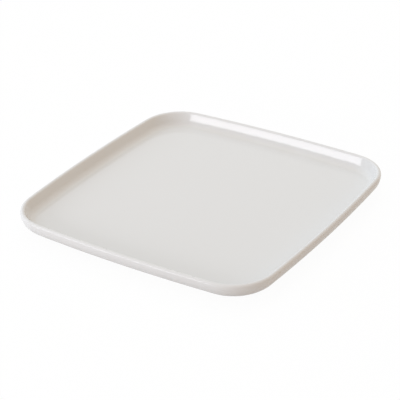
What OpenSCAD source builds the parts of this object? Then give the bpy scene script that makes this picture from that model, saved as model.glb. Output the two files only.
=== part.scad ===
// Square serving plate: a pressed ceramic plate with bowed sides, a rolled lip and a low foot ring.
// The origin is the middle of the table face, +Z is up and the sides face X and Y.
// A profile runs in two values: the inset from the plate's outermost line, and the height.

/* [Plate outline] */
// Width across the middles of two opposite sides
plate_w = 270; // [230:1:320]
// Radius of the four corners
corner_r = 41; // [38:0.5:50]
// How far the corner arcs stay back from the middle of each side
side_fall = 2.8; // [1.5:0.1:5]

/* [Wall and rim] */
// Height from the table to the top of the lip
plate_h = 21.2; // [20:0.1:24]
// Thickness of the round lip
lip_t = 4.6; // [4:0.1:5.4]
// Lean of the inner wall from upright, in degrees
wall_lean = 22; // [16:0.5:28]
// How far the circle of the outer belly stays above the underside
belly_lift = 1.5; // [1:0.1:2.6]

/* [Well] */
// Height of the eating surface above the table
floor_h = 9.3; // [8.5:0.1:10.1]
// Radius of the cove between the floor and the wall
cove_r = 7.5; // [6:0.1:9]

/* [Foot ring] */
// Height of the underside above the table
foot_h = 3.4; // [3:0.1:4]
// Flat run of the underside before the ring
under_flat = 2.5; // [1:0.1:4]
// Width of the foot ring
foot_w = 5; // [4:0.1:6]
// Radius of the corners on the ring's inner side
foot_corner_r = 8; // [6:0.1:11]
// Radius of the ring's lower edges
foot_edge_r = 0.8; // [0.4:0.05:1]
// Radius of the fillet between the ring and the underside
foot_fillet_r = 1; // [0.5:0.05:1.2]

/* [Glaze] */
// Thickness of the fired glaze
glaze_t = 0.35; // [0.2:0.01:0.5]
// Height of the bare band that is wiped clean above the table
bare_h = 1; // [0.8:0.02:1.1]

/* [Hidden] */

// Turn of the profile's arcs from one point to the next, in degrees
profile_turn = 12;
// Steps in a full turn, for a corner's sweep and for a side's much wider one
corner_steps = 120;
side_steps = 1440;
// Turn by which each sector runs past the cut that trims it, in degrees
sector_overrun = 0.5;
// Length by which a shape runs past the cut that trims it
overrun = 6;

clay_colour = "#d8cdbd";
glaze_colour = "#e3e0db";

half_w = plate_w / 2;
// Centre of a corner arc, in X and Y alike
corner_at = half_w - corner_r - side_fall;
// A side's arc has its centre far behind the opposite side. The corner's centre lies this far
// before it, measured square to the side, and side_pivot_r from it in a straight line.
side_pivot_run = (corner_at * corner_at - side_fall * side_fall) / (2 * side_fall);
side_pivot_r = side_pivot_run + side_fall;
// Half of the angle that one side's arc takes up
side_turn = atan2(corner_at, side_pivot_run);
diagonal = 45;

// The foot ring follows the plate's outline, so its place sets the radius of its corners
foot_inner = corner_r - foot_corner_r;
foot_inset = foot_inner - foot_w;

// Lip and belly share the height of their centres, so they meet upright
lip_r = lip_t / 2;
lip_at = [lip_r, plate_h - lip_r];
under_drop = lip_at.y - foot_h;
belly_r = under_drop - belly_lift;
belly_at = [belly_r, lip_at.y];
// A wider arc leads on from the belly until the underside is flat
under_run = foot_inset - foot_fillet_r - under_flat - belly_r;
under_r = (under_drop * under_drop + under_run * under_run - belly_r * belly_r)
    / (2 * belly_lift);
under_at = [belly_r + under_run, foot_h + under_r];
belly_turn = atan2(under_r - under_drop, under_run);

// The leaning wall touches both the lip and the cove
cove_inset = lip_r
    + (lip_r + cove_r * (1 - sin(wall_lean)) + (lip_at.y - floor_h) * sin(wall_lean))
    / cos(wall_lean);
cove_at = [cove_inset, floor_h + cove_r];

// Points of an arc given by its centre, radius and two directions
function arc(at, r, from, to) =
    let (steps = ceil(abs(to - from) / profile_turn))
    [for (i = [0:steps]) let (a = from + (to - from) * i / steps) at + r * [cos(a), sin(a)]];

// The glazed faces, sunk by a depth: from the well over the lip to the outer side of the foot ring
function upper_faces(depth, reach) = concat(
    [[reach, floor_h - depth]],
    arc(cove_at, cove_r + depth, 270, 180 + wall_lean),
    arc(lip_at, lip_r - depth, wall_lean, 180),
    arc(belly_at, belly_r - depth, 180, 180 + belly_turn),
    arc(under_at, under_r - depth, 180 + belly_turn, 270),
    arc([foot_inset - foot_fillet_r, foot_h - foot_fillet_r], foot_fillet_r + depth, 90, 0)
);

// The faces inside the foot ring, sunk by a depth: from the ring's inner side to the middle
function base_faces(depth, reach) = concat(
    arc([foot_inner + foot_fillet_r, foot_h - foot_fillet_r], foot_fillet_r + depth, 180, 90),
    [[reach, foot_h + depth]]
);

// The bare ring that the plate stands on
function foot_faces() = concat(
    arc([foot_inset + glaze_t + foot_edge_r, foot_edge_r], foot_edge_r, 180, 270),
    arc([foot_inner - glaze_t - foot_edge_r, foot_edge_r], foot_edge_r, 270, 360)
);

function reversed(points) = [for (i = [len(points) - 1:-1:0]) points[i]];

function clay_profile(reach) =
    concat(upper_faces(glaze_t, reach), foot_faces(), base_faces(glaze_t, reach));

function coat_profile(reach) = concat(
    upper_faces(0, reach),
    [[foot_inset, bare_h], [foot_inset + glaze_t, bare_h]],
    reversed(upper_faces(glaze_t, reach))
);

function base_profile(reach) = concat(
    [[foot_inner, bare_h]],
    base_faces(0, reach),
    reversed(base_faces(glaze_t, reach)),
    [[foot_inner - glaze_t, bare_h]]
);

// A profile drawn upright, with the corner's centre at zero and the rim to the right
module profile(points) {
    polygon([for (p = points) [corner_r - p.x, p.y]]);
}

// Half of one side with its share of the middle, swept about the side's far centre
module half_side(points) {
    translate([-side_pivot_r, 0, 0])
        rotate_extrude(angle = -side_turn - sector_overrun, $fn = side_steps)
            translate([side_pivot_r, 0]) profile(points);
}

// Half of one corner, swept about the corner's own centre
module half_corner(points) {
    rotate_extrude(angle = diagonal - side_turn + sector_overrun, $fn = corner_steps)
        profile(points);
}

// The eighth of the plate between the middle of a side and the diagonal. Its children are drawn
// with the corner's centre at zero and the end of the side's arc along X.
module eighth() {
    reach = half_w + overrun;
    intersection() {
        translate([0, 0, -overrun])
            linear_extrude(plate_h + 2 * overrun) polygon([[0, 0], [reach, 0], [reach, reach]]);
        translate([corner_at, corner_at, 0]) rotate([0, 0, side_turn]) children();
    }
}

// Sweeps one profile around the plate: side_points reach past the middle, corner_points end at
// the corner's centre
module around(side_points, corner_points) {
    for (turn = [0:90:270])
        for (flip = [0, 1])
            rotate([0, 0, turn]) mirror([0, flip, 0]) {
                eighth() half_side(side_points);
                eighth() half_corner(corner_points);
            }
}

// Inset at which a side's profile has passed the middle of the plate
middle_reach = half_w + overrun;

module clay_body() {
    color(clay_colour) around(clay_profile(middle_reach), clay_profile(corner_r));
}

module glaze_coat() {
    color(glaze_colour) around(coat_profile(middle_reach), coat_profile(corner_r));
}

module base_glaze() {
    color(glaze_colour) around(base_profile(middle_reach), base_profile(corner_r));
}

clay_body();
glaze_coat();
base_glaze();
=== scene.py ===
"""Square serving plate of glazed ceramic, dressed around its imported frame."""

import math
from typing import NamedTuple

import bmesh
import bpy
from bpy.props import FloatProperty, FloatVectorProperty, IntProperty, PointerProperty
from mathutils import Matrix, Vector


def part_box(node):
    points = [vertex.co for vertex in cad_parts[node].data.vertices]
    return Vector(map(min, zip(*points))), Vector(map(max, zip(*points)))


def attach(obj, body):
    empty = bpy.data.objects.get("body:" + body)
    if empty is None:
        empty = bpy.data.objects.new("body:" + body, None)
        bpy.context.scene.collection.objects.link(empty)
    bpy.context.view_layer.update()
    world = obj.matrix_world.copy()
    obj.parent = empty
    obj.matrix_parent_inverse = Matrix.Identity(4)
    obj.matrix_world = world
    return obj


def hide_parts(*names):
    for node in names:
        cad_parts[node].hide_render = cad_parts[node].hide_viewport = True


bl_info = {
    "name": "Square Serving Plate",
    "version": (1, 0, 0),
    "blender": (4, 5, 0),
    "location": "3D View > Sidebar > Plate",
    "description": "Builds a glazed square serving plate and its stage",
    "category": "Add Mesh",
}

# The boxes of the frame's nodes give the plate's width, height, glaze and bare ring
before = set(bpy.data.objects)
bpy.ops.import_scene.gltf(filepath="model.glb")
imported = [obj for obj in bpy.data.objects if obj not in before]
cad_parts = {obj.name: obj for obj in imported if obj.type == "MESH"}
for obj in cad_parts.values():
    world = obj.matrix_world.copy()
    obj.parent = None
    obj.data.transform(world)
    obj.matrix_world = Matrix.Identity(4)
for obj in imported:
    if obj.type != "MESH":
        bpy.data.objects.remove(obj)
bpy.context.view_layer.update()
COAT_LOW, COAT_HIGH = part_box("glaze_coat")
CLAY_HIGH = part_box("clay_body")[1]
BASE_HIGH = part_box("base_glaze")[1]

GLAZE_NAME = "off_white_glaze"
WHITE = (1.0, 1.0, 1.0, 1.0)

DIAGONAL = math.radians(45)
QUARTER = math.radians(90)
HALF_TURN = math.radians(180)
FULL_TURN = math.radians(360)
# Direction of a profile's arc where it points at the table
DOWN = HALF_TURN + QUARTER

# The photograph's frame, and the pixel at which the middle of the plate's foot stands in it
PHOTO_PX = 400
FOOT_PX = (204.14, 208.2)

# Depth of the glaze's hidden inner face, which lies inside the clay, and the radius of its
# lower edges, both as shares of its thickness
SUNK_SHARE = 1.25
EDGE_SHARE = 0.4
# Reach of the thin glaze on the lip, as a share of the lip's radius
CREST_REACH_SHARE = 0.55
# Reach of the cove's pooled glaze and painted shade, and its shift towards the wall, as shares of the
# cove's radius
COVE_MARK_REACH_SHARE = 0.6
COVE_MARK_SHIFT_SHARE = 0.3

# Waves that the kiln leaves around the rim: how many in a full turn, and their phase
SWAY_WAVES = ((2, 0.7), (3, -1.1))
SETTLE_WAVES = ((4, 2.1), (5, 0.0))


def length(name, description, default):
    """A size in metres"""
    return FloatProperty(
        name=name, description=description, default=default, min=0, precision=5,
        subtype="DISTANCE", unit="LENGTH")


def turn(name, description, degrees):
    """An angle, given in degrees"""
    return FloatProperty(
        name=name, description=description, default=math.radians(degrees), subtype="ANGLE")


def share(name, description, default):
    """A share between none and all"""
    return FloatProperty(
        name=name, description=description, default=default, min=0, max=1, subtype="FACTOR")


def faced(name, description, default):
    """How far a direction faces a side, from -1 to 1"""
    return FloatProperty(name=name, description=description, default=default, min=-1, max=1)


def power(name, description, default):
    """The power of a light"""
    return FloatProperty(
        name=name, description=description, default=default, min=0, unit="POWER")


def tint(name, description, default):
    """A colour in linear light"""
    return FloatVectorProperty(
        name=name, description=description, default=default, size=3, min=0, soft_max=1,
        subtype="COLOR")


class PlateSizes(bpy.types.PropertyGroup):
    """The sizes that the frame's boxes don't give"""

    corner_r: length("Corner radius", "Radius of the outline's four corners", 0.041)
    side_fall: length("Side fall", "How far the corners stay back from a side's middle", 0.0028)
    lip_t: length("Lip thickness", "Thickness of the round lip", 0.0046)
    wall_lean: turn("Wall lean", "Lean of the inner wall from upright", 22)
    belly_lift: length("Belly lift", "Height of the belly's circle above the underside", 0.0015)
    floor_h: length("Floor height", "Height of the eating surface above the table", 0.0093)
    cove_r: length("Cove radius", "Radius of the cove between floor and wall", 0.0075)
    foot_h: length("Foot height", "Height of the underside above the table", 0.0034)
    under_flat: length("Underside flat", "Flat run of the underside before the ring", 0.0025)
    foot_w: length("Foot width", "Width of the foot ring", 0.005)
    foot_edge_r: length("Foot edge radius", "Radius of the ring's lower edges", 0.0008)
    foot_fillet_r: length("Foot fillet", "Radius between the ring and the underside", 0.001)
    rim_sway: length("Rim sway", "How far the kiln has drawn the rim inwards in places", 0.00025)
    rim_settle: length("Rim settle", "How far the rim has sunk in places", 0.000125)
    floor_sag: length("Floor sag", "How far the floor has sunk in its middle", 0.0002)
    corner_steps: IntProperty(
        name="Corner steps", description="Steps across half of a corner", default=14, min=2)
    side_steps: IntProperty(
        name="Side steps", description="Steps along one side", default=52, min=4)
    lip_step: turn("Lip step", "Turn of the lip's and the belly's arcs per step", 5)
    cove_step: turn("Cove step", "Turn of the cove's and the underside's arcs per step", 3.5)
    edge_step: turn("Edge step", "Turn of the small fillets and edges per step", 15)


class PlateLooks(bpy.types.PropertyGroup):
    """Colours and finish of the glaze and of the bare clay"""

    glaze: tint("Glaze", "Colour of the glaze at its usual thickness", (0.758, 0.758, 0.75))
    thin_glaze: tint("Thin glaze", "Colour over the lip, where it lies thin", (0.75, 0.747, 0.739))
    thin_least: share("Least thinning", "Strength of the thin glaze between its streaks", 0.55)
    # Darker, warmer colour in the cove: pooled glaze, and partly painted shade in that hollow
    cove_glaze_and_shade: tint(
        "Pooled glaze", "Colour in the cove, where it lies thick", (0.738, 0.727, 0.703))
    pooled_and_shaded_least: share("Least pooling", "Strength of the pooled glaze between its clouds", 0.5)
    cloud_shade: share("Cloud shade", "How far the broad clouds tint the glaze", 0.045)
    mist_shade: share("Mist shade", "How far the fine clouds tint the glaze", 0.02)
    speck: tint("Speck", "Colour of the iron specks in the glaze", (0.30, 0.22, 0.15))
    speck_strength: share("Speck strength", "How far the specks cover the glaze", 0.22)
    gloss_low: share("Lowest roughness", "Roughness where the glaze is smoothest", 0.03)
    gloss_high: share("Highest roughness", "Roughness where its fine clouds dull it most", 0.07)
    pinhole_wear: share("Pinhole wear", "Roughness that a pinhole adds", 0.25)
    lip_wear: share("Lip wear", "Roughness that use adds where the glaze is thin", 0.35)
    peel_depth: length("Peel depth", "Depth of the glaze's fine waves", 0.000012)
    clay: tint("Clay", "Colour of the bare fired clay", (0.62, 0.52, 0.40))
    clay_dark: tint("Dark clay", "Colour of the clay's darker clouds", (0.48, 0.38, 0.28))
    clay_low: share("Lowest clay roughness", "Roughness where the clay is smoothest", 0.72)
    clay_high: share("Highest clay roughness", "Roughness where the clay is sandiest", 0.95)
    clay_grain: length("Clay grain", "Height of the grain on the bare ring", 0.00006)
    grog: tint("Grog", "Colour of the coarse grains in the clay", (0.30, 0.22, 0.16))
    grog_cover: share("Grog cover", "How far the coarse grains cover the clay", 0.6)


class StageLooks(bpy.types.PropertyGroup):
    """Camera, floor and light"""

    camera_turn: turn("Camera turn", "How far right of the -Y side the camera stands", 34.329)
    camera_rise: turn("Camera rise", "Height of the camera over the table, as an angle", 29.78)
    camera_roll: turn("Camera roll", "Tilt of the picture", -2.15)
    camera_away: length("Camera distance", "Distance from the middle of the foot", 1.2785)
    camera_near: length("Camera near limit", "Distance before which it sees nothing", 0.05)
    lens_mm: FloatProperty(
        name="Lens", description="Focal length on a 36 mm sensor", default=123.2, min=1)
    key_power: power("Key power", "Power of the softbox", 3.77)
    key_colour: tint("Key colour", "Colour of the softbox", (0.94, 0.945, 1.0))
    key_turn: turn("Key turn", "How far left of the -Y side the softbox stands", 30)
    key_rise: turn("Key rise", "Height of the softbox, as an angle", 13)
    key_away: length("Key distance", "Distance of the softbox", 1.2)
    key_wide: length("Key width", "Width of the softbox", 0.7)
    key_tall: length("Key height", "Height of the softbox's face", 0.3)
    over_power: power("Overhead power", "Power of the overhead light", 3.65)
    over_colour: tint("Overhead colour", "Colour of the overhead light", (0.92, 0.99, 0.988))
    over_turn: turn("Overhead turn", "How far right of the -Y side it hangs", 200)
    over_rise: turn("Overhead rise", "Height of the overhead light, as an angle", 62)
    over_away: length("Overhead distance", "Distance of the overhead light", 1.5)
    over_wide: length("Overhead width", "Width of the overhead light, along and across", 0.8)
    open_side: tint("Open side", "Light of the room on the lit side", (0.918, 0.937, 0.985))
    far_side: tint("Far side", "Light of the room on the +X side", (0.585, 0.436, 0.294))
    far_turn: turn("Far turn", "Direction of the far side, from +X towards +Y", 10)
    far_start: faced("Far start", "Where the far side's light starts", -0.2)
    back_side: tint(
        "Back side", "Light of the room behind and left of the plate", (0.834, 0.915, 0.982))
    back_turn: turn("Back turn", "Direction of the back side, from +X towards +Y", 135)
    back_start: faced("Back start", "Where the back side's light starts", 0.0)
    side_full: faced("Side full", "Where the far and the back side's light is at its full", 0.7)
    floor_bounce: tint("Floor bounce", "Colour that the floor throws back", (0.72, 0.7, 0.69))
    shadow: share("Shadow", "How much of the shadow the camera sees on the floor", 0.04)
    gloss_shadow: share("Shadow in gloss", "How much of it the glaze mirrors", 0.5)
    floor_half: length("Floor reach", "Half of the floor's width", 6.0)
    floor_drop: length("Floor drop", "Gap that keeps the floor off the foot", 0.0001)


def arc(at, radius, start, end, step):
    """Points of an arc in the profile, from one direction to another"""
    count = max(1, math.ceil(abs(end - start) / step))
    points = []
    for i in range(count + 1):
        angle = start + (end - start) * i / count
        points.append((at[0] + radius * math.cos(angle), at[1] + radius * math.sin(angle)))
    return points


def around_rim(direction, waves):
    """Strength of a sum of waves in one direction from the middle, between nothing and one"""
    total = sum(math.sin(count * direction + phase) for count, phase in waves)
    return (len(waves) + total) / (2 * len(waves))


class PlateForm:
    """The plate's outline and cross-section

    A profile point is an inset from the outermost line and a height above the table.
    """

    def __init__(self, sizes):
        self.sizes = sizes
        self.half = min(COAT_HIGH[0], COAT_HIGH[1], -COAT_LOW[0], -COAT_LOW[1])
        self.height = COAT_HIGH[2]
        self.glaze = COAT_HIGH[2] - CLAY_HIGH[2]
        self.bare_h = COAT_LOW[2]
        self.foot_inner = self.half - BASE_HIGH[0]
        self.foot_inset = self.foot_inner - sizes.foot_w
        self.sunk = self.glaze * SUNK_SHARE
        self.glaze_edge = self.glaze * EDGE_SHARE
        self.place_outline()
        self.place_arcs()

    def place_outline(self):
        """Works out where the outline's arcs have their centres"""
        sizes = self.sizes
        self.corner_at = self.half - sizes.corner_r - sizes.side_fall
        run = (self.corner_at ** 2 - sizes.side_fall ** 2) / (2 * sizes.side_fall)
        self.side_r = run + sizes.side_fall + sizes.corner_r
        self.side_at = self.half - self.side_r
        self.side_turn = math.atan2(self.corner_at, run)

    def place_arcs(self):
        """Works out where the profile's arcs have their centres"""
        sizes = self.sizes
        self.lip_r = sizes.lip_t / 2
        self.lip_at = (self.lip_r, self.height - self.lip_r)
        drop = self.lip_at[1] - sizes.foot_h
        self.belly_r = drop - sizes.belly_lift
        self.belly_at = (self.belly_r, self.lip_at[1])
        run = self.foot_inset - sizes.foot_fillet_r - sizes.under_flat - self.belly_r
        self.under_r = (drop ** 2 + run ** 2 - self.belly_r ** 2) / (2 * sizes.belly_lift)
        self.under_at = (self.belly_r + run, sizes.foot_h + self.under_r)
        self.belly_turn = math.atan2(self.under_r - drop, run)
        lean_sin = math.sin(sizes.wall_lean)
        rise = self.lip_at[1] - sizes.floor_h
        wall_run = self.lip_r + sizes.cove_r * (1 - lean_sin) + rise * lean_sin
        self.cove_inset = self.lip_r + wall_run / math.cos(sizes.wall_lean)
        self.cove_at = (self.cove_inset, sizes.floor_h + sizes.cove_r)

    def upper_faces(self, depth):
        """The glazed faces, sunk by a depth, from the well over the lip to the foot ring"""
        sizes = self.sizes
        fillet_r = sizes.foot_fillet_r
        fillet_at = (self.foot_inset - fillet_r, sizes.foot_h - fillet_r)
        lean = HALF_TURN + sizes.wall_lean
        bend = HALF_TURN + self.belly_turn
        points = [(self.cove_inset + sizes.lip_t, sizes.floor_h - depth)]
        points += arc(self.cove_at, sizes.cove_r + depth, DOWN, lean, sizes.cove_step)
        points += arc(self.lip_at, self.lip_r - depth, sizes.wall_lean, HALF_TURN, sizes.lip_step)
        points += arc(self.belly_at, self.belly_r - depth, HALF_TURN, bend, sizes.lip_step)[1:]
        points += arc(self.under_at, self.under_r - depth, bend, DOWN, sizes.cove_step)[1:]
        points += arc(fillet_at, fillet_r + depth, QUARTER, 0, sizes.edge_step)
        return points

    def base_faces(self, depth):
        """The faces inside the foot ring, sunk by a depth, from the ring to the middle"""
        sizes = self.sizes
        fillet_r = sizes.foot_fillet_r
        fillet_at = (self.foot_inner + fillet_r, sizes.foot_h - fillet_r)
        points = arc(fillet_at, fillet_r + depth, HALF_TURN, QUARTER, sizes.edge_step)
        points.append((fillet_at[0] + fillet_r, sizes.foot_h + depth))
        return points

    def foot_faces(self):
        """The bare ring that the plate stands on"""
        edge_r, step = self.sizes.foot_edge_r, self.sizes.edge_step
        outer = (self.foot_inset + self.glaze + edge_r, edge_r)
        inner = (self.foot_inner - self.glaze - edge_r, edge_r)
        return arc(outer, edge_r, HALF_TURN, DOWN, step) + arc(inner, edge_r, DOWN, FULL_TURN, step)

    def clay_path(self):
        """The clay's faces, from the well to the middle of the underside"""
        return self.upper_faces(self.glaze) + self.foot_faces() + self.base_faces(self.glaze)

    def coat_path(self):
        """The coat's outer face, its rounded lower edge and its inner face"""
        edge_at = (self.foot_inset + self.glaze_edge, self.bare_h + self.glaze_edge)
        edge = arc(edge_at, self.glaze_edge, HALF_TURN, DOWN, self.sizes.edge_step)
        edge.append((self.foot_inset + self.sunk, self.bare_h))
        return self.upper_faces(0) + edge + self.upper_faces(self.sunk)[::-1]

    def base_path(self):
        """The field of glaze inside the ring: its face, its edge and its inner face"""
        edge_at = (self.foot_inner - self.glaze_edge, self.bare_h + self.glaze_edge)
        edge = arc(edge_at, self.glaze_edge, 0, -QUARTER, self.sizes.edge_step)
        edge.append((self.foot_inner - self.sunk, self.bare_h))
        return self.base_faces(0)[::-1] + edge + self.base_faces(self.sunk)

    def spokes(self):
        """Centre, radius and direction of each cut across the rim, all the way round"""
        corner_r, corner_steps = self.sizes.corner_r, self.sizes.corner_steps
        corner = Vector((self.corner_at, self.corner_at))
        low_corner = Vector((self.corner_at, -self.corner_at))
        side = Vector((self.side_at, 0))
        stretches = (
            (low_corner, corner_r, -DIAGONAL, -self.side_turn, corner_steps),
            (side, self.side_r, -self.side_turn, self.side_turn, self.sizes.side_steps),
            (corner, corner_r, self.side_turn, DIAGONAL, corner_steps),
        )
        found = []
        for quarter in range(4):
            turned = Matrix.Rotation(QUARTER * quarter, 2)
            for centre, radius, start, end, steps in stretches:
                for i in range(steps):
                    angle = start + (end - start) * i / steps + QUARTER * quarter
                    found.append((turned @ centre, radius, angle))
        return found

    def fired(self, point):
        """Moves a point by what the kiln did to the plate: always inwards or down"""
        sizes = self.sizes
        direction = math.atan2(point.y, point.x)
        height_share = point.z / self.height
        reach_share = math.hypot(point.x, point.y) / self.half
        sunk = max(0, 1 - reach_share ** 2) ** 2 * min(1, point.z / sizes.foot_h)
        settled = height_share * around_rim(direction, SETTLE_WAVES) * reach_share ** 4
        swayed = height_share * around_rim(direction, SWAY_WAVES)
        fall = sizes.floor_sag * sunk + sizes.rim_settle * settled
        drawn = 1 - sizes.rim_sway * swayed / self.half
        return Vector((point.x * drawn, point.y * drawn, point.z - fall))


def patch_grid(ring):
    """Fills a closed ring of four equal stretches with a grid, blended from its four edges"""
    steps = len(ring) // 4
    grid = [[None] * (steps + 1) for _ in range(steps + 1)]
    for i in range(steps + 1):
        grid[i][0] = ring[i]
        grid[steps][i] = ring[steps + i]
        grid[steps - i][steps] = ring[2 * steps + i]
        grid[0][steps - i] = ring[(3 * steps + i) % len(ring)]
    for i in range(1, steps):
        for j in range(1, steps):
            a, b = i / steps, j / steps
            along = grid[i][0] * (1 - b) + grid[i][steps] * b
            across = grid[0][j] * (1 - a) + grid[steps][j] * a
            low = grid[0][0] * (1 - a) + grid[steps][0] * a
            high = grid[0][steps] * (1 - a) + grid[steps][steps] * a
            grid[i][j] = along + across - low * (1 - b) - high * b
    return grid


def patch_mesh(ring, first, points, faces):
    """Adds the patch that closes a ring, whose own points start at an index"""
    grid = patch_grid(ring)
    steps = len(grid) - 1
    index = {}
    for i in range(steps + 1):
        index[i, 0] = first + i
        index[steps, i] = first + steps + i
        index[steps - i, steps] = first + 2 * steps + i
        index[0, steps - i] = first + (3 * steps + i) % len(ring)
    for i in range(1, steps):
        for j in range(1, steps):
            index[i, j] = len(points)
            points.append(grid[i][j])
    for i in range(steps):
        for j in range(steps):
            faces.append((index[i, j], index[i + 1, j], index[i + 1, j + 1], index[i, j + 1]))


def swept_ring(spokes, inset, height):
    """The closed ring that one profile point leaves around the outline"""
    ring = []
    for centre, radius, angle in spokes:
        outwards = Vector((math.cos(angle), math.sin(angle)))
        ring.append(Vector((*(centre + outwards * (radius - inset)), height)))
    return ring


def tube_faces(rings, count):
    """The faces between rings of so many points, each ring listed after the one before"""
    faces = []
    for low in range(0, (rings - 1) * count, count):
        high = low + count
        for i in range(count):
            k = (i + 1) % count
            faces.append((low + i, low + k, high + k, high + i))
    return faces


def shell_piece(name, form, path, marks):
    """A closed shell swept around the outline, with a patch across each of its two ends

    marks gives each named mark's strength at a profile point, for the glaze to read.
    """
    spokes = form.spokes()
    count = len(spokes)
    points = [point for pair in path for point in swept_ring(spokes, *pair)]
    owners = [pair for pair in path for _ in spokes]
    faces = tube_faces(len(path), count)
    for end in (0, len(path) - 1):
        first = end * count
        patch_mesh(points[first:first + count], first, points, faces)
        owners += [path[end]] * (len(points) - len(owners))
    mesh = bpy.data.meshes.new(name)
    mesh.from_pydata([form.fired(point) for point in points], [], faces)
    for mark, strength in marks.items():
        values = mesh.attributes.new(mark, "FLOAT", "POINT")
        values.data.foreach_set("value", [strength(*pair) for pair in owners])
    shaped = bmesh.new()
    shaped.from_mesh(mesh)
    bmesh.ops.recalc_face_normals(shaped, faces=shaped.faces)
    shaped.to_mesh(mesh)
    shaped.free()
    mesh.shade_smooth()
    piece = bpy.data.objects.new(name, mesh)
    bpy.context.collection.objects.link(piece)
    return piece


def near(value, centre, reach):
    """Falls smoothly from one at the centre to nothing"""
    return math.exp(-((value - centre) / reach) ** 2)


def glaze_marks(form):
    """Where the glaze has run thin, and the cove, where it has pooled and where its darker colour is
    also painted shade
    """
    sizes = form.sizes
    crest_reach = form.lip_r * CREST_REACH_SHARE
    cove_mark_inset = form.cove_inset - sizes.cove_r * COVE_MARK_SHIFT_SHARE
    cove_mark_reach = sizes.cove_r * COVE_MARK_REACH_SHARE

    def thin(inset, height):
        crest = near(height, form.height, crest_reach)
        edge = near(height, form.bare_h, sizes.foot_fillet_r)
        return max(crest, edge)

    # Strength in the cove, where the glaze pools and where shade is also painted
    def pooled_and_shaded(inset, height):
        inside = 1 if height > sizes.floor_h - form.glaze else 0
        cove = near(inset, cove_mark_inset, cove_mark_reach)
        return cove * inside * near(height, sizes.floor_h, cove_mark_reach)

    return {"thin": thin, "pooled_and_shaded": pooled_and_shaded}


class Channel:
    """A socket that takes part in Python expressions"""

    def __init__(self, shader, socket):
        self.shader = shader
        self.socket = socket

    def __add__(self, other):
        return self.shader.math("ADD", self, other)

    def __radd__(self, other):
        return self.shader.math("ADD", other, self)

    def __sub__(self, other):
        return self.shader.math("SUBTRACT", self, other)

    def __rsub__(self, other):
        return self.shader.math("SUBTRACT", other, self)

    def __mul__(self, other):
        return self.shader.math("MULTIPLY", self, other)

    def __rmul__(self, other):
        return self.shader.math("MULTIPLY", other, self)


class Noise(NamedTuple):
    """A cloudy noise: its clouds per metre, and how finely they break up"""

    per_metre: float
    detail: float


class Dots(NamedTuple):
    """Round dots: their cells per metre, their radius in cells and the share that is kept"""

    per_metre: float
    radius: float
    kept: float


# In the glaze: broad clouds, fine ones, the streaks where it is thin, and its fine waves
CLOUDS = Noise(per_metre=22.0, detail=3.0)
MIST = Noise(per_metre=140.0, detail=2.0)
STREAKS = Noise(per_metre=70.0, detail=2.0)
PEEL = Noise(per_metre=320.0, detail=1.0)
SPECKS = Dots(per_metre=95.0, radius=0.045, kept=0.3)
PINHOLES = Dots(per_metre=160.0, radius=0.05, kept=0.12)

# In the clay
CLAY_CLOUDS = Noise(per_metre=60.0, detail=4.0)
SAND = Noise(per_metre=900.0, detail=2.0)
GROG = Dots(per_metre=420.0, radius=0.3, kept=0.35)

# Share of a dot's radius over which it is at its full
DOT_CORE_SHARE = 0.4
# Stretches of a noise's strength over which a ramp runs, from the softest to the sharpest
SOFT, EVEN, CRISP = (0.2, 0.8), (0.25, 0.75), (0.3, 0.7)

# Heights in the bump: the broad clouds and pinholes against the fine waves, and the coarse
# grains against the sand
CLOUD_WAVE = 3.0
PINHOLE_DEPTH = 2.0
GROG_RISE = 0.5

CERAMIC_IOR = 1.5


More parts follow.
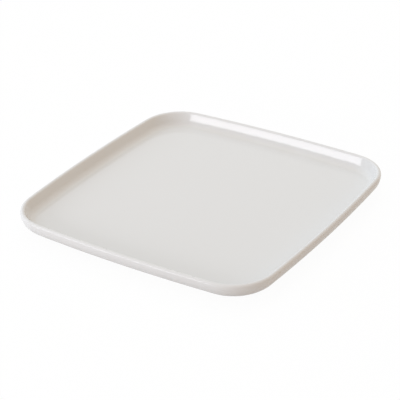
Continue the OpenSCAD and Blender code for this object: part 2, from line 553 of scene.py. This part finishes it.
class Shader:
    """A node tree, and the one method that makes its nodes"""

    # Places of a Mix node's two colours, and of the colour that it gives
    mix_a, mix_b, mix_out = 6, 7, 2

    def __init__(self, tree):
        self.tree = tree
        tree.nodes.clear()

    def node(self, kind, settings, sockets):
        """Makes a node: its settings first, then the values or links of its sockets"""
        made = self.tree.nodes.new(kind)
        for name, value in settings.items():
            setattr(made, name, value)
        for key, value in sockets.items():
            if isinstance(value, Channel):
                self.tree.links.new(value.socket, made.inputs[key])
            elif isinstance(value, bpy.types.NodeSocket):
                self.tree.links.new(value, made.inputs[key])
            else:
                made.inputs[key].default_value = value
        return made

    def channel(self, kind, settings, sockets, output=0):
        """Makes a node and gives one of its outputs"""
        return Channel(self, self.node(kind, settings, sockets).outputs[output])

    def math(self, operation, a, b):
        """Works out one step of an expression"""
        return self.channel("ShaderNodeMath", {"operation": operation}, {0: a, 1: b})

    def blend(self, share_of_b, a, b):
        """Mixes two colours"""
        sockets = {0: share_of_b, self.mix_a: a, self.mix_b: b}
        return self.channel("ShaderNodeMix", {"data_type": "RGBA"}, sockets, self.mix_out)

    def mix(self, share_of_b, a, b):
        """Mixes two shader nodes"""
        sockets = {0: share_of_b, 1: a.outputs[0], 2: b.outputs[0]}
        return self.node("ShaderNodeMixShader", {}, sockets)

    def ramp(self, value, stretch, start=0.0, end=1.0):
        """Moves smoothly from start to end while a value crosses a stretch"""
        low, high = stretch
        sockets = {"Value": value, "From Min": low, "From Max": high, "To Min": start, "To Max": end}
        return self.channel(
            "ShaderNodeMapRange", {"interpolation_type": "SMOOTHSTEP"}, sockets)

    def place(self, kind):
        """The coordinates of what is shaded"""
        return self.channel("ShaderNodeTexCoord", {}, {}, kind)

    def noise(self, at, grain):
        """The strength of a noise"""
        sockets = {"Vector": at, "Scale": grain.per_metre, "Detail": grain.detail}
        return self.channel("ShaderNodeTexNoise", {}, sockets)

    def dots(self, at, kind):
        """One on the dots that are kept, and nothing between them"""
        sockets = {"Vector": at, "Scale": kind.per_metre}
        cells = self.node("ShaderNodeTexVoronoi", {"feature": "F1"}, sockets)
        away = Channel(self, cells.outputs["Distance"])
        solid = self.ramp(away, (kind.radius * DOT_CORE_SHARE, kind.radius), 1.0, 0.0)
        lots = self.node("ShaderNodeSeparateColor", {}, {0: cells.outputs["Color"]})
        return solid * self.math("LESS_THAN", Channel(self, lots.outputs[0]), kind.kept)

    def facing(self, direction, towards):
        """How far a direction faces a point of the horizon, from -1 to 1"""
        horizon = (math.cos(towards), math.sin(towards), 0.0)
        return self.channel(
            "ShaderNodeVectorMath", {"operation": "DOT_PRODUCT"}, {0: direction, 1: horizon}, "Value")

    def mark(self, name):
        """A strength that the mesh carries"""
        return self.channel("ShaderNodeAttribute", {"attribute_name": name}, {}, "Fac")

    def bump(self, height, depth):
        """The normal of a surface whose waves have a depth in metres"""
        sockets = {"Strength": 1.0, "Distance": depth, "Height": height}
        return self.channel("ShaderNodeBump", {}, sockets)

    def rays(self, *kinds):
        """For each kind of ray, one where it is of that kind and nothing elsewhere"""
        path = self.node("ShaderNodeLightPath", {}, {})
        return [Channel(self, path.outputs[kind]) for kind in kinds]

    def surface(self, shader_node):
        """Gives the material its surface"""
        self.node("ShaderNodeOutputMaterial", {}, {"Surface": shader_node.outputs[0]})

    def ceramic(self, colour, roughness, normal):
        """Gives the material the surface of fired ware"""
        self.surface(self.node("ShaderNodeBsdfPrincipled", {}, {
            "Base Color": colour, "Roughness": roughness, "Normal": normal, "IOR": CERAMIC_IOR}))


def opaque(colour):
    """A colour with its alpha"""
    return (*colour, 1.0)


def new_material(name):
    """An empty material, and the shader that fills it"""
    material = bpy.data.materials.new(name)
    material.use_nodes = True
    return material, Shader(material.node_tree)


def glaze_material(looks):
    """Off-white gloss glaze: warmer and darker in the cove, where it has pooled and partly as painted
    shade, worn where it is thin, faintly specked
    """
    material, shader = new_material(GLAZE_NAME)
    at = shader.place("Object")
    clouds = shader.noise(at, CLOUDS)
    mist = shader.noise(at, MIST)
    streaks = shader.ramp(shader.noise(at, STREAKS), EVEN, looks.thin_least)
    thin = shader.mark("thin") * streaks
    # Mask of the cove, where the glaze pools and where shade is also painted
    pooled_and_shaded = shader.mark("pooled_and_shaded") * shader.ramp(clouds, CRISP, looks.pooled_and_shaded_least)
    specks = shader.dots(at, SPECKS)
    pinholes = shader.dots(at, PINHOLES)

    colour = shader.blend(thin, opaque(looks.glaze), opaque(looks.thin_glaze))
    # The cove's pooled glaze, darker and warmer, also paints shade into the hollow
    colour = shader.blend(pooled_and_shaded, colour, opaque(looks.cove_glaze_and_shade))
    broad_shade = shader.ramp(clouds, EVEN, 0.0, looks.cloud_shade)
    fine_shade = shader.ramp(mist, CRISP, 0.0, looks.mist_shade)
    colour = shader.blend(broad_shade + fine_shade, colour, opaque(looks.thin_glaze))
    colour = shader.blend(specks * looks.speck_strength, colour, opaque(looks.speck))

    gloss = shader.ramp(mist, SOFT, looks.gloss_low, looks.gloss_high)
    roughness = gloss + pinholes * looks.pinhole_wear + thin * looks.lip_wear
    height = clouds * CLOUD_WAVE + shader.noise(at, PEEL) - pinholes * PINHOLE_DEPTH
    shader.ceramic(colour, roughness, shader.bump(height, looks.peel_depth))
    return material


def clay_material(looks):
    """Bare fired clay: sandy, matt and grainy, with coarse dark grains"""
    material, shader = new_material("bare_clay")
    at = shader.place("Object")
    clouds = shader.ramp(shader.noise(at, CLAY_CLOUDS), CRISP)
    sand = shader.noise(at, SAND)
    grog = shader.dots(at, GROG)
    colour = shader.blend(clouds, opaque(looks.clay), opaque(looks.clay_dark))
    colour = shader.blend(grog * looks.grog_cover, colour, opaque(looks.grog))
    roughness = shader.ramp(sand, SOFT, looks.clay_low, looks.clay_high)
    shader.ceramic(colour, roughness, shader.bump(sand + grog * GROG_RISE, looks.clay_grain))
    return material


def shown_rays(shader):
    """One for the rays that show a white room: the camera's, and those of gloss and glass"""
    camera, glossy, through = shader.rays("Is Camera Ray", "Is Glossy Ray", "Is Transmission Ray")
    return shader.math("MINIMUM", camera + glossy + through, 1.0)


def floor_material(looks):
    """A white floor that keeps a share of the plate's shadow"""
    material, shader = new_material("white_floor")
    bounce = shader.node("ShaderNodeBsdfDiffuse", {}, {"Color": opaque(looks.floor_bounce)})
    lit = shader.node("ShaderNodeBsdfDiffuse", {}, {"Color": WHITE})
    glow = shader.node("ShaderNodeEmission", {}, {"Color": WHITE, "Strength": 1.0})
    mirrored = shader.rays("Is Glossy Ray")[0]
    glowing = shader.ramp(mirrored, (0.0, 1.0), 1 - looks.shadow, 1 - looks.gloss_shadow)
    shown = shader.mix(glowing, lit, glow)
    shader.surface(shader.mix(shown_rays(shader), bounce, shown))
    return material


def build_world(looks):
    """A white room for what is seen, whose light is dimmer and warmer on the far side"""
    world = bpy.data.worlds.new("white_room")
    world.use_nodes = True
    bpy.context.scene.world = world
    shader = Shader(world.node_tree)
    at = shader.place("Generated")
    far = shader.ramp(shader.facing(at, looks.far_turn), (looks.far_start, looks.side_full))
    back = shader.ramp(shader.facing(at, looks.back_turn), (looks.back_start, looks.side_full))
    room = shader.blend(back, opaque(looks.open_side), opaque(looks.back_side))
    room = shader.blend(far, room, opaque(looks.far_side))
    colour = shader.blend(shown_rays(shader), room, WHITE)
    background = shader.node("ShaderNodeBackground", {}, {"Color": colour, "Strength": 1.0})
    shader.node("ShaderNodeOutputWorld", {}, {"Surface": background.outputs[0]})


def build_floor(looks):
    """The table that the plate stands on"""
    mesh = bpy.data.meshes.new("floor")
    half, low = looks.floor_half, -looks.floor_drop
    corners = [(-half, -half, low), (half, -half, low), (half, half, low), (-half, half, low)]
    mesh.from_pydata(corners, [], [(0, 1, 2, 3)])
    mesh.materials.append(floor_material(looks))
    floor = bpy.data.objects.new("floor", mesh)
    bpy.context.collection.objects.link(floor)


def seen_from(turned, risen):
    """Direction of a point that stands turned right of the -Y side, and above the table"""
    flat = math.cos(risen)
    return Vector((math.sin(turned) * flat, -math.cos(turned) * flat, math.sin(risen)))


def area_light(name, towards, away, wide, tall):
    """A light that faces the middle of the plate's foot and that the camera doesn't see"""
    light = bpy.data.lights.new(name, "AREA")
    light.shape = "RECTANGLE"
    light.size = wide
    light.size_y = tall
    lamp = bpy.data.objects.new(name, light)
    lamp.location = towards * away
    lamp.rotation_euler = towards.to_track_quat("Z", "Y").to_euler()
    lamp.visible_camera = False
    bpy.context.collection.objects.link(lamp)
    return lamp


def build_lights(looks):
    """A softbox low on the left, mirrored as the far wall's white band, and a light overhead"""
    key = area_light(
        "softbox", seen_from(-looks.key_turn, looks.key_rise), looks.key_away,
        looks.key_wide, looks.key_tall)
    key.data.energy = looks.key_power
    key.data.color = looks.key_colour
    over = area_light(
        "overhead", seen_from(looks.over_turn, looks.over_rise), looks.over_away,
        looks.over_wide, looks.over_wide)
    over.data.energy = looks.over_power
    over.data.color = looks.over_colour
    # In the gloss it would show as a line along the cove
    over.visible_glossy = False


def build_camera(looks):
    """The photograph's camera, aimed so that the middle of the foot falls on its pixel"""
    back = seen_from(looks.camera_turn, looks.camera_rise)
    right = (-back).cross(Vector((0, 0, 1))).normalized()
    up = right.cross(-back)
    level = Matrix((right, up, back)).transposed()
    rolled = level @ Matrix.Rotation(looks.camera_roll, 3, "Z")

    data = bpy.data.cameras.new("camera")
    data.lens = looks.lens_mm
    data.clip_start = looks.camera_near
    focal_px = looks.lens_mm / data.sensor_width * PHOTO_PX
    middle = PHOTO_PX / 2
    sight = Vector(((FOOT_PX[0] - middle) / focal_px, (middle - FOOT_PX[1]) / focal_px, -1))
    aim = Vector((0, 0, -1)).rotation_difference(sight.normalized()).to_matrix()
    turned = rolled @ aim.transposed()
    camera = bpy.data.objects.new("camera", data)
    camera.matrix_world = Matrix.Translation(back * looks.camera_away) @ turned.to_4x4()
    bpy.context.collection.objects.link(camera)
    bpy.context.scene.camera = camera


def dress(piece, material, node):
    """Gives a piece its finish and puts it in its node's place"""
    piece.data.materials.append(material)
    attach(piece, "root")
    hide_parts(node)


def shared_glaze(context):
    """The one glaze that both glazed pieces wear"""
    return bpy.data.materials.get(GLAZE_NAME) or glaze_material(context.scene.plate_looks)


class PLATE_OT_clay_body(bpy.types.Operator):
    """Build the clay, of which only the bearing ring stays bare"""

    bl_idname = "plate.clay_body"
    bl_label = "Clay Body"

    def execute(self, context):
        form = PlateForm(context.scene.plate_sizes)
        piece = shell_piece("clay_body_core", form, form.clay_path(), {})
        dress(piece, clay_material(context.scene.plate_looks), "clay_body")
        return {"FINISHED"}


class PLATE_OT_glaze_coat(bpy.types.Operator):
    """Build the glaze over the well, the lip, the belly and the foot ring's outside"""

    bl_idname = "plate.glaze_coat"
    bl_label = "Glaze Coat"

    def execute(self, context):
        form = PlateForm(context.scene.plate_sizes)
        piece = shell_piece("glaze_coat_skin", form, form.coat_path(), glaze_marks(form))
        dress(piece, shared_glaze(context), "glaze_coat")
        return {"FINISHED"}


class PLATE_OT_base_glaze(bpy.types.Operator):
    """Build the field of glaze inside the foot ring"""

    bl_idname = "plate.base_glaze"
    bl_label = "Base Glaze"

    def execute(self, context):
        form = PlateForm(context.scene.plate_sizes)
        piece = shell_piece("base_glaze_skin", form, form.base_path(), glaze_marks(form))
        dress(piece, shared_glaze(context), "base_glaze")
        return {"FINISHED"}


class PLATE_OT_stage(bpy.types.Operator):
    """Build the floor, the room's light, the two lamps and the camera"""

    bl_idname = "plate.stage"
    bl_label = "Stage"

    def execute(self, context):
        looks = context.scene.plate_stage
        build_floor(looks)
        build_world(looks)
        build_lights(looks)
        build_camera(looks)
        context.scene.view_settings.view_transform = "Standard"
        return {"FINISHED"}


class PLATE_PT_sidebar(bpy.types.Panel):
    """Lists the operators and their values"""

    bl_label = "Square Serving Plate"
    bl_space_type = "VIEW_3D"
    bl_region_type = "UI"
    bl_category = "Plate"

    def draw(self, context):
        for operator in OPERATORS:
            self.layout.operator(operator.bl_idname)
        for group in GROUPS:
            values = getattr(context.scene, group)
            box = self.layout.box()
            for name in values.__annotations__:
                box.prop(values, name)


GROUPS = {"plate_sizes": PlateSizes, "plate_looks": PlateLooks, "plate_stage": StageLooks}
OPERATORS = (PLATE_OT_clay_body, PLATE_OT_glaze_coat, PLATE_OT_base_glaze, PLATE_OT_stage)
CLASSES = (*GROUPS.values(), *OPERATORS, PLATE_PT_sidebar)


def register():
    """Registers the classes and gives the scene its values"""
    for made in CLASSES:
        bpy.utils.register_class(made)
    for name, group in GROUPS.items():
        setattr(bpy.types.Scene, name, PointerProperty(type=group))


def unregister():
    """Takes the scene's values and the classes away"""
    for name in GROUPS:
        delattr(bpy.types.Scene, name)
    for made in reversed(CLASSES):
        bpy.utils.unregister_class(made)


def main():
    """Builds the plate and its stage"""
    register()
    bpy.ops.plate.clay_body()
    bpy.ops.plate.glaze_coat()
    bpy.ops.plate.base_glaze()
    bpy.ops.plate.stage()


if __name__ == "__main__":
    main()
